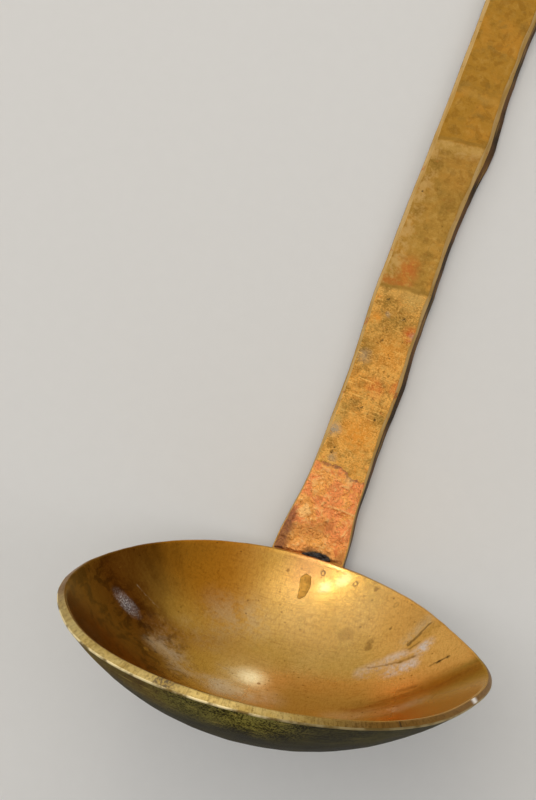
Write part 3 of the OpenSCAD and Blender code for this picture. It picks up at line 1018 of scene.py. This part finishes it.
def footThick(f):
    form = strapForm
    taper = ease((f - form["footTaper"]) / (1 - form["footTaper"]))
    return form["thick"] + (form["footEnd"] - form["thick"]) * taper


def onWall(x, down, out):  # a point behind the wall: across, down from the rim and out from the wall
    q = 1 - down / bowlForm["radius"]
    return layDown @ wallAt(q, math.asin(x / (bowlForm["radius"] * q)), out)


def strapRings():  # sections from the foot's end over the rim to the tip
    form = strapForm
    look = strapLook
    rings = []
    for i in range(look["footSteps"], -1, -1):
        f = form["footLast"] * math.sin(math.pi / 2 * i / look["footSteps"])
        thin = form["thin"]
        outline = strapOutline(footHalf(f), footThick(f), (thin, thin), thin, form["footDrop"])
        down = f * form["footReach"]
        rings.append([onWall(point.x, down, form["braze"] + point.y) for point in outline])
    tipFrom = form["length"] - form["tipWidth"] / 2
    count = round((tipFrom - form["cup"]) / look["barStep"])
    stations = [form["cup"] * (i / look["rootSteps"]) for i in range(1, look["rootSteps"])]
    stations += [form["cup"] + (tipFrom - form["cup"]) * i / count for i in range(count + 1)]
    turns = [math.radians(look["tipTurn"]) * i / look["tipSteps"] for i in range(1, look["tipSteps"] + 1)]
    stations += [tipFrom + look["tipLast"] * form["tipWidth"] / 2 * math.sin(a) for a in turns]
    return rings + [[barPoint(s, point.x, point.y) for point in barOutline(s)] for s in stations]


def addHandle():
    form = strapForm
    rings = strapRings()
    around = len(rings[0])
    mesh = sheetOf(around, len(rings) - 1, lambda column, row: rings[row][column % around], strapFinish)
    closeEnds(mesh)
    finishes = [hammeredFinish(), bevelFinish(), sideFinish()]
    handle = addPiece("strapHandle", mesh, finishes, "handle")
    flare = form["holeFlare"]
    profile = ((0, -flare), (form["holeRadius"] + flare, -flare), (form["holeRadius"], flare))
    profile += tuple((radius, form["thick"] - z) for radius, z in reversed(profile))
    cutter = spun([(radius, 0, z) for radius, z in profile], form["holeSides"])
    bmesh.ops.remove_doubles(cutter, verts=cutter.verts, dist=weld)
    bmesh.ops.translate(cutter, verts=cutter.verts, vec=(0, form["length"] / 2 - form["holeInset"], 0))
    cutAway(handle, cutter, strapLook["sharp"])


hammeredLook = {  # places are in millimetres, across the strap and along it from the rim
    "low": (0.8, 0.405, 0.09),
    "middle": (0.4, 0.22, 0.042),
    "top": (0.37, 0.188, 0.025),
    "olive": (0.29, 0.165, 0.032),
    "pale": (0.54, 0.335, 0.092),
    "tan": (0.49, 0.305, 0.105),
    "orange": (0.7, 0.29, 0.042),
    "russet": (0.45, 0.12, 0.026),
    "copper": (0.58, 0.14, 0.03),
    "grey": (0.36, 0.29, 0.2),
    "pit": (0.045, 0.03, 0.014),
    "scratch": (0.94, 0.56, 0.15),
    "dust": (0.58, 0.5, 0.4),
    "spark": (0.95, 0.57, 0.18),
    "stain": (0.62, 0.56, 0.48),
    "redPatch": (-1.5, 81.6, 2.4),
    "redSquash": 0.75,  # under 1 makes it longer along the strap
    "pits": (  # across, along and size
        (-4.1, 72.3, 0.35), (-1.5, 61.5, 0.3), (3.5, 62.7, 0.2), (1.3, 41.5, 0.3),
        (4, 40.5, 0.3), (-3.9, 28.7, 0.4), (1, 45.5, 0.2), (-0.5, 42.5, 0.3),
        (2.2, 69, 0.3), (-3.4, 30, 0.3), (-5.7, 103, 0.3), (3, 96, 0.2),
    ),
    "zones": (  # stains of the lowest panel: across, along, size, tone and strength
        (0, 66.5, 6, "olive", 0.6), (-5.5, 57.5, 3.6, "olive", 0.75),
        (2.5, 74.2, 2.4, "pale", 0.8), (5.2, 65.5, 1.8, "copper", 0.7),
        (-5.3, 66.8, 1.1, "orange", 0.8), (1.8, 59, 4.2, "orange", 0.45),
        (1.2, 49, 2.2, "copper", 0.45), (7, 50.5, 1.6, "copper", 0.9),
        (5, 41, 2, "olive", 0.8), (-4.5, 41.5, 1.4, "olive", 0.6),
        (1.2, 35.5, 4, "orange", 0.75), (-5.4, 37.7, 1.1, "pale", 1.0),
        (-5.4, 34.8, 1.6, "grey", 0.7), (-3.5, 72, 1.6, "olive", 0.8),
    ),
    "greys": ((-4.7, 56, 1.6), (-2.7, 68.5, 0.6), (-3.1, 27.3, 1), (5.5, 65, 0.8)),
}


def hammeredFinish():
    look = hammeredLook
    made = Finish("hammeredBrass", look)
    x, y = made.parts()[:2]
    s = y + milli * strapForm["length"] / 2
    broad = made.cloud(8.5, detail=4.0, twist=0.4)
    patchy = made.cloud(3.4, detail=5.0, rough=0.6, twist=0.2)
    fine = made.cloud(1, detail=4.0, rough=0.65)
    grains = made.cloud(0.42, rough=0.65)
    stained = made.cloud(2.2, detail=4.0, rough=0.6, twist=0.5)
    flecks = made.cloud(1.9, detail=5.0, rough=0.65)
    brushed = made.cloud(0.9, made.stretched(0.18, 1.8, 1.0), detail=4.0, rough=0.6)  # file marks
    hairs = made.cloud(0.7, made.stretched(0.08, 1.0, 1.0), rough=0.65)  # finer and fewer
    dust = made.cloud(0.36, made.stretched(0.7, 1.0, 1.0), detail=4.0, rough=0.75)
    first, second = (milli * ridge[0] for ridge in strapForm["ridges"][:2])
    upper = s - strapForm["ridges"][0][1] * x
    middle = upper.step(first - 0.5, first + 0.5)
    top = upper.step(second - 0.4, second + 0.6)
    lively = 1 - 0.55 * middle - 0.25 * top  # the lower panel is the most uneven
    made.base(middle, "low", "middle")
    made.coat(top, "top")
    made.coat(broad.step(0.46, 0.66) * 0.6 * (1 - 0.5 * middle - 0.15 * top), "orange")
    made.coat(patchy.step(0.48, 0.7) * 0.7, "olive")
    made.coat(patchy.step(0.48, 0.28) * 0.65 * (1 - 0.6 * top), "pale")
    dusk = (s + 4 * (broad - 0.5)).step(90, 106) * (1 - top)
    made.coat(dusk * 0.45, "olive")
    made.coat(stained.step(0.49, 0.6) * (1 - 0.4 * middle) * 0.75, "stain", "MULTIPLY")
    made.coat(brushed.step(0.5, 0.68) * lively * 0.3, "pale")
    made.coat(brushed.step(0.48, 0.32) * lively * 0.3, "olive")
    made.coat(grains.step(0.48, 0.64) * lively * 0.5, "olive")
    made.coat(fine.step(0.5, 0.32) * lively * 0.45, "pale")
    made.coat(fine.step(0.54, 0.7) * lively * 0.45, "olive")
    nearX = x + 3 * (patchy - 0.5) + fine - 0.5
    nearS = s + 3 * (fine - 0.5) + grains - 0.5
    thumbed = (nearX + 4 * (broad - 0.5)).step(-2, -6) * middle * (1 - top)
    underRidge = (upper + 2 * (patchy - 0.5)).step(second - 4.8, second - 2) * (1 - top)
    worn = (thumbed * 0.75).most(underRidge * 0.65) * (patchy + 0.6 * (fine - 0.5)).step(0.62, 0.36)
    made.coat(worn, "tan")
    for *mark, tone, strength in look["zones"]:
        zone = made.spot(nearX, nearS, mark, 0.9) * (1.3 * strength)
        zone = zone * (0.4 + 0.75 * (fine + 0.6 * (grains - 0.5)).step(0.36, 0.62))
        made.coat(zone.least(1.0), tone)
    across, along, size = look["redPatch"]
    red = made.spot(nearX, (nearS - along) * look["redSquash"], (across, 0.0, size), 0.9)
    band = abs(upper - first - 2.2).step(2, 0.5) * nearX.step(2, -0.5)
    red = red.most(band * 0.7) * (fine + 0.3 * grains).step(0.4, 0.75)
    made.coat(red * 0.75, "russet")
    flecks = flecks.step(0.6, 0.7) * (0.3 + 0.7 * abs(x).step(3.5, 6.5))
    made.coat(flecks * (1 - 0.5 * middle - 0.5 * top) * 0.8, "copper")
    # each ridge gets a paler band below it and a darker one just above: painted highlight and painted
    # shade of its relief
    for mark, slant, strength in strapForm["ridges"]:
        away = s - milli * mark - slant * x + 2.4 * (patchy - 0.5)
        made.coat(abs(away + 1).step(1.8, 0) * strength * 0.45, "pale")
        made.coat(abs(away - 0.8).step(0.9, 0) * strength * 0.7, "olive")
    for mark in look["greys"]:
        made.coat(made.spot(nearX, nearS, mark, 0.8) * 0.5, "grey")
    for mark in look["pits"]:
        made.coat(made.spot(nearX, nearS, mark, 0.7) * 0.85, "pit")
    specks = fine.step(0.62, 0.7) * grains.step(0.52, 0.62)
    specks = specks * broad.step(0.36, 0.52) * (1 - 0.75 * middle)
    made.coat(specks * 0.85, "pit")
    filed = hairs.step(0.58, 0.68) * broad.step(0.44, 0.58) * (1 - middle)
    made.coat(filed * 0.6, "scratch")
    dusty = (1 - 0.9 * middle) * (0.15 + 0.6 * patchy.step(0.38, 0.6))
    made.coat(dust.step(0.5, 0.62) * dusty * 0.85, "dust", "MULTIPLY")
    made.coat(dust.step(0.48, 0.36) * dusty * 0.6, "spark")
    height = (brushed + fine + grains - specks) * (1 - 0.5 * middle)
    return made.surface(rough=0.36 + 0.14 * fine + 0.08 * patchy, normal=made.bumps(height, 0.00012, 0.4))


bevelLook = {
    "pale": (0.56, 0.375, 0.155),
    "gold": (0.46, 0.275, 0.08),
    "red": (0.42, 0.12, 0.035),
    "pit": (0.14, 0.085, 0.03),
    "heatedAt": 46.5,  # reddened low on both edges
}


def bevelFinish():
    made = Finish("wornBevel", bevelLook)
    y = made.parts()[1]
    fine = made.cloud(1, detail=4.0, rough=0.65)
    long = made.cloud(1.2, made.stretched(1.0, 0.12, 1.0))  # drawn along the edge
    made.base(long.step(0.35, 0.65), "gold", "pale")
    s = y + milli * strapForm["length"] / 2
    heated = abs(s - bevelLook["heatedAt"]).step(5.5, 1.5)
    reddened = (made.cloud(3, detail=5.0, rough=0.65) + 0.15 * heated).step(0.63, 0.72)
    made.coat(reddened * 0.8, "red")
    made.coat(fine.step(0.62, 0.74) * 0.6, "pit")
    return made.surface(rough=0.4 + 0.15 * fine, normal=made.bumps(fine + long, 0.0001, 0.25))


sideTones = {"brown": (0.19, 0.085, 0.024), "dark": (0.045, 0.028, 0.012), "gold": (0.46, 0.29, 0.085)}


def sideFinish():
    made = Finish("brownedBrass", sideTones)
    x, z = made.parts()[::2]
    broad = made.cloud(10, detail=4.0)
    fine = made.cloud(1, detail=4.0, rough=0.65)
    long = made.cloud(1.6, made.stretched(1.0, 0.1, 1.0))
    made.base(broad.step(0.35, 0.65), "dark", "brown")
    made.coat(long.step(0.54, 0.7) * 0.6, "gold")
    # gold on the upper part of the left side: partly rubbed wear, partly painted light falling from the
    # left
    rubbed = (z + fine - 0.5).step(2.2, 3.4) * x.step(2, -2)
    made.coat(rubbed * 0.9, "gold")
    made.coat(fine.step(0.6, 0.75) * 0.6, "dark")
    return made.surface(rough=0.44 + 0.18 * fine, normal=made.bumps(fine + long, 0.00015, 0.35))


# Rivet
rivetLook = {
    "half": (0.0018, 0.0041),  # of the plug, across and down the wall
    "proud": 0.0001,
    "edge": 0.00018,
    "lap": 0.0014,  # what the head gains on the plug all round
    "seat": 0.004,
    "head": 0.001,
    "dome": 0.16,
    "domeSteps": 5,
    "sharp": 40,
    "gold": (0.72, 0.4, 0.08),
    "amber": (0.54, 0.28, 0.055),
    "brown": (0.22, 0.12, 0.034),
}


def addRivet():
    look = rivetLook
    mesh, ends = plugPrism(0.0, -wallThick(plugQ, 0) - look["proud"], look["seat"])
    low = min(vert.co.z for vert in mesh.verts)
    under = [face for face in mesh.faces if max(vert.co.z for vert in face.verts) < low + 1e-6]
    bmesh.ops.inset_region(mesh, faces=under, thickness=look["edge"] * 2, depth=look["edge"] * 0.5)
    wide = [1 + look["lap"] / half for half in look["half"]]
    for i in range(look["domeSteps"] + 1):
        part = math.pi / 2 / look["domeSteps"]
        made = bmesh.ops.extrude_face_region(mesh, geom=ends)
        rising = vertsOf(made)
        ends = facesOf(made)
        grow = [1 - look["dome"] * math.sin(part * i)] * 2 if i else wide
        lift = look["head"] * (math.sin(part * i) - math.sin(part * (i - 1))) if i else 0.0
        bmesh.ops.scale(mesh, verts=rising, vec=(grow[0], grow[1], 1))
        bmesh.ops.translate(mesh, verts=rising, vec=(0, 0, lift))
    bmesh.ops.transform(mesh, matrix=plugFrame, verts=mesh.verts)
    addPiece("footRivet", mesh, [rivetFinish()], "foot_rivet", look["sharp"])


def rivetFinish():
    made = Finish("filedRivet", rivetLook)
    grain = made.cloud(0.7, detail=4.0, rough=0.65)
    made.base(made.cloud(2.2).step(0.35, 0.65), "gold", "amber")
    made.coat(grain.step(0.52, 0.68) * 0.8, "brown")
    return made.surface(rough=0.36 + 0.2 * grain, normal=made.bumps(grain, 0.0001, 0.5))


# Braze: the run up the front of the root, and the seam with its fillet behind the bowl
washLook = {
    "columns": 90,
    "rows": 130,
    "thick": 0.00024,
    "sunk": 0.00008,
    "margin": 0.0004,  # bare edge at each side
    "from": 0.0004,
    "to": 0.0257,
    "rightFall": (0.002, -0.0005, 0.005),  # how far the end falls to the right, from where and over what
    "leftFall": (0.12, 0.003),  # slope of the end on the left, and from where
    "lumpSize": 0.0022,
    "lumpHeight": 0.00024,
    "foldSize": 0.0018,
    "foldWidth": 0.09,
    "foldDepth": 0.00012,
    "creaseAt": 0.0147,
    "creaseHeight": 0.00012,
    "creaseWidth": 0.0004,
    "creaseFade": 0.001,
    "least": 0.00002,
    "feather": (0.12, 0.06, 0.03),  # shares of the run that thin out: each side, its end and its start
    "ragged": ((0.0007, 0.0012, 2), (0.0005, 0.0004, 4)),  # depth and size of the end's teeth, and a seed
    "sharp": 50,
}


def washTop(x):  # where the run ends
    ragged = 0.0
    for depth, size, seed in washLook["ragged"]:
        ragged += depth * noise.noise(Vector((x / size, seed, 0)))
    fall, start, over = washLook["rightFall"]
    slope, edge = washLook["leftFall"]
    return washLook["to"] - fall * ease((x - start) / over) - slope * max(0.0, -x - edge) + ragged


def washPoint(column, row, raised):  # raised for the run's face, otherwise the bar under it
    look = washLook
    across = 2 * column / look["columns"] - 1
    top = washTop(across * strapForm["width"] / 2)
    along = row / look["rows"]
    s = look["from"] + (top - look["from"]) * along
    bevels, drop, draft = bevelsAt(s)
    x = across * (barHalf(s) - look["margin"] - draft)
    inside = barHalf(s) - draft - abs(x)
    under = drop * max(0.0, 1 - inside / bevels[1 if x > 0 else 0])
    if not raised:
        return barPoint(s, x, look["sunk"] + under)
    side, end, start = look["feather"]
    feather = ease((1 - abs(across)) / side) * ease((1 - along) / end) * ease(along / start)
    height = look["thick"] + wobble(Vector((x, s, 0.1)), look["lumpSize"], look["lumpHeight"])
    height += wobble(Vector((x, s, 0.7)), look["lumpSize"] / 3, look["lumpHeight"] / 3)
    fold = noise.noise(Vector((x, s, 0.3)) / look["foldSize"]) / look["foldWidth"]
    height -= look["foldDepth"] * math.exp(-fold * fold)  # crumpled like a thin skin
    crease = math.exp(-(((s - look["creaseAt"]) / look["creaseWidth"]) ** 2))
    height += look["creaseHeight"] * crease * ease(x / look["creaseFade"])
    return barPoint(s, x, under - max(look["least"], height) * feather)


def addWash():
    look = washLook
    mesh = sheetOf(look["columns"], look["rows"], lambda column, row: Vector((column, row, 0)))
    made = bmesh.ops.extrude_face_region(mesh, geom=mesh.faces[:])
    raised = set(vertsOf(made))
    for vert in mesh.verts:
        vert.co = washPoint(round(vert.co.x), round(vert.co.y), vert in raised)
    addPiece("brazeRun", mesh, [washFinish()], "braze_wash", look["sharp"])


brazeLook = {  # places are in millimetres, across the strap and along it from the rim
    "copper": (1.0, 0.36, 0.12),
    "gold": (1.0, 0.49, 0.12),
    "red": (0.8, 0.22, 0.068),
    "brown": (0.48, 0.185, 0.052),
    "purple": (0.22, 0.085, 0.052),
    "creamHighlight": (1.0, 0.6, 0.225),
    "soot": (0.03, 0.022, 0.018),
    "smear": ((-3.5, 6.6), (2.2, 9.4), 3.2),  # start, end and width
    "sooty": ((0, 0.8), (4.5, 1.2), 2.4),
    "endAt": 25.5,
}


def washFinish():
    look = brazeLook
    made = Finish("copperBraze", look)
    x, y = made.parts()[:2]
    s = y + milli * strapForm["length"] / 2
    broad = made.cloud(5.5, detail=5.0, rough=0.6, twist=0.4)
    patchy = made.cloud(2.6, detail=5.0, rough=0.6, twist=0.8)
    crumbs = made.cloud(0.9, detail=4.0, rough=0.65, twist=0.4)
    nearX = x + 4 * (patchy - 0.5)
    nearS = s + 4 * (broad - 0.5) + 1.5 * (crumbs - 0.5)
    veins = abs(patchy - 0.5).step(0.028, 0.004)
    made.base(broad.step(0.48, 0.58) * 0.8, "copper", "gold")
    made.coat(nearS.step(7.5, 3.5) * 0.6, "gold")
    made.coat(patchy.step(0.42, 0.32) * 0.75, "red")
    # cream: painted highlights on the braze's lumps and on its crease
    made.coat(patchy.step(0.55, 0.66) * 0.85, "creamHighlight")
    made.coat(veins * 0.5, "brown")
    made.coat(crumbs.step(0.54, 0.66) * 0.8, "creamHighlight")
    made.coat(crumbs.step(0.42, 0.32) * 0.75, "brown")
    made.coat(made.stroke(nearX, nearS, *look["smear"]) * (0.1 + 0.8 * patchy), "brown")
    leftSide = nearX.step(-5, -8) * nearS.step(14, 8.5)
    made.coat(leftSide * (0.4 + 0.8 * crumbs), "purple")
    corner = nearX.step(5.5, 8) * nearS.step(6, 2)
    made.coat(corner * 0.7, "brown")
    edge = (nearS - look["endAt"] + 2 * x.step(-0.5, 4.5)).step(-0.8, 0.2)
    made.coat(edge * (0.2 + 0.9 * crumbs), "purple")
    crease = abs(s - milli * washLook["creaseAt"]).step(0.4, 0) * x.step(-0.2, 0.6)
    made.coat(crease * 0.7, "creamHighlight")
    made.coat(made.stroke(nearX, nearS, *look["sooty"]) * (0.3 + 0.9 * patchy), "soot")
    return made.surface(rough=0.34 + 0.25 * crumbs, normal=made.bumps(patchy + 0.5 * crumbs, 0.0008, 0.8))


seamLook = {
    "steps": 110,
    "width": 0.0012,
    "climb": 0.0012,  # how high the fillet climbs up the foot's side
    "climbMost": 0.7,  # share of the foot's thickness
    "hollow": 1.6,
    "sunk": 0.0005,
    "lumpSize": 0.0028,
    "lumpShare": 0.3,
    "lift": 0.00005,  # off the wall
    "film": (0.00008, 0.00028),
    "filmGrid": (24, 30),
    "filmMargin": 0.0002,
    "filmLast": 0.95,  # share of the foot's reach
    "sharp": 50,
}


def seamRing(turn):  # one section of the fillet, turning from the rim's left over the foot's end
    form = strapForm
    look = seamLook
    half = form["rootWidth"] / 2
    x = half * math.sin(turn)
    f = max(0.0, math.cos(turn)) ** (2 / form["footRound"])
    down = f * form["footReach"]
    steep = form["footRound"] * f ** (form["footRound"] - 1) / form["footReach"]
    outward = Vector((2 * x / half ** 2, steep)).normalized()
    lump = 1 + look["lumpShare"] * noise.noise(Vector((x, down, 0.4)) / look["lumpSize"])
    climb = min(look["climb"] * lump, footThick(min(f, form["footLast"])) * look["climbMost"])
    ring = []
    for t in (0.0, 0.2, 0.4, 0.6, 0.8, 1.0):  # hollow face from the wall up to the foot's side
        away = look["width"] * lump * (1 - t) ** look["hollow"]
        ring.append((away, look["lift"] + climb * t ** look["hollow"]))
    ring += [(-look["sunk"], climb), (-look["sunk"], look["lift"])]
    return [onWall(x + outward.x * w, down + outward.y * w, out) for w, out in ring]


def addSeam():
    look = seamLook
    form = strapForm
    rings = [seamRing(math.radians(180 * i / look["steps"] - 90)) for i in range(look["steps"] + 1)]
    around = len(rings[0])
    mesh = sheetOf(around, look["steps"], lambda column, row: rings[row][column % around])
    closeEnds(mesh)
    columns, rows = look["filmGrid"]
    film = bmesh.ops.create_grid(mesh, x_segments=columns, y_segments=rows, size=0.5)["verts"]
    sheet = list({face for vert in film for face in vert.link_faces})
    made = bmesh.ops.extrude_face_region(mesh, geom=sheet)
    for verts, out in ((film, look["film"][0]), (vertsOf(made), look["film"][1])):
        for vert in verts:
            f = look["filmLast"] * (vert.co.y + 0.5)
            x = 2 * vert.co.x * (footHalf(f) - look["filmMargin"])
            vert.co = onWall(x, f * form["footReach"], out)
    addPiece("brazeSeam", mesh, [washFinish()], "braze_seam", look["sharp"])


# Flux bead
beadLook = {
    "at": 0.0022,
    "half": 0.004,
    "thick": 0.0014,
    "out": 0.0007,  # from the corner of rim and handle
    "lumpSize": 0.0012,
    "lumpShare": 0.7,
    "leftLoss": 0.3,  # share of the thickness lost from right to middle, and again from middle to left
    "flat": 0.8,
    "fineness": 5,
    "black": (0.008, 0.008, 0.01),
    "brown": (0.03, 0.02, 0.016),
}


def addBead():
    look = beadLook
    mesh = bmesh.new()
    bmesh.ops.create_icosphere(mesh, subdivisions=look["fineness"], radius=1.0)
    lean = math.radians(90 - strapForm["pitch"]) + wallSlope(1)
    for vert in mesh.verts:
        x = look["at"] + look["half"] * vert.co.x
        corner = layDown @ wallOut(1, math.asin(x / bowlForm["radius"]))
        lump = 1 + look["lumpShare"] * noise.noise(vert.co * look["half"] / look["lumpSize"])
        swell = look["thick"] * lump * (1 - look["leftLoss"] * (1 - vert.co.x))
        across = Vector((0, math.cos(lean / 2), math.sin(lean / 2)))
        beside = Vector((0, -math.sin(lean / 2), math.cos(lean / 2)))
        place = corner + across * (look["out"] + swell * vert.co.y)
        vert.co = place + beside * swell * look["flat"] * vert.co.z
    addPiece("fluxBead", mesh, [beadFinish()], "flux_bead")


def beadFinish():
    made = Finish("blackFlux", beadLook)
    grain = made.cloud(0.8)
    made.base(grain.step(0.4, 0.65), "black", "brown")
    return made.surface(rough=0.12 + 0.25 * grain, normal=made.bumps(grain, 0.0003, 0.4), metal=0.0)


addBowl()
addHandle()
addRivet()
addWash()
addSeam()
addBead()
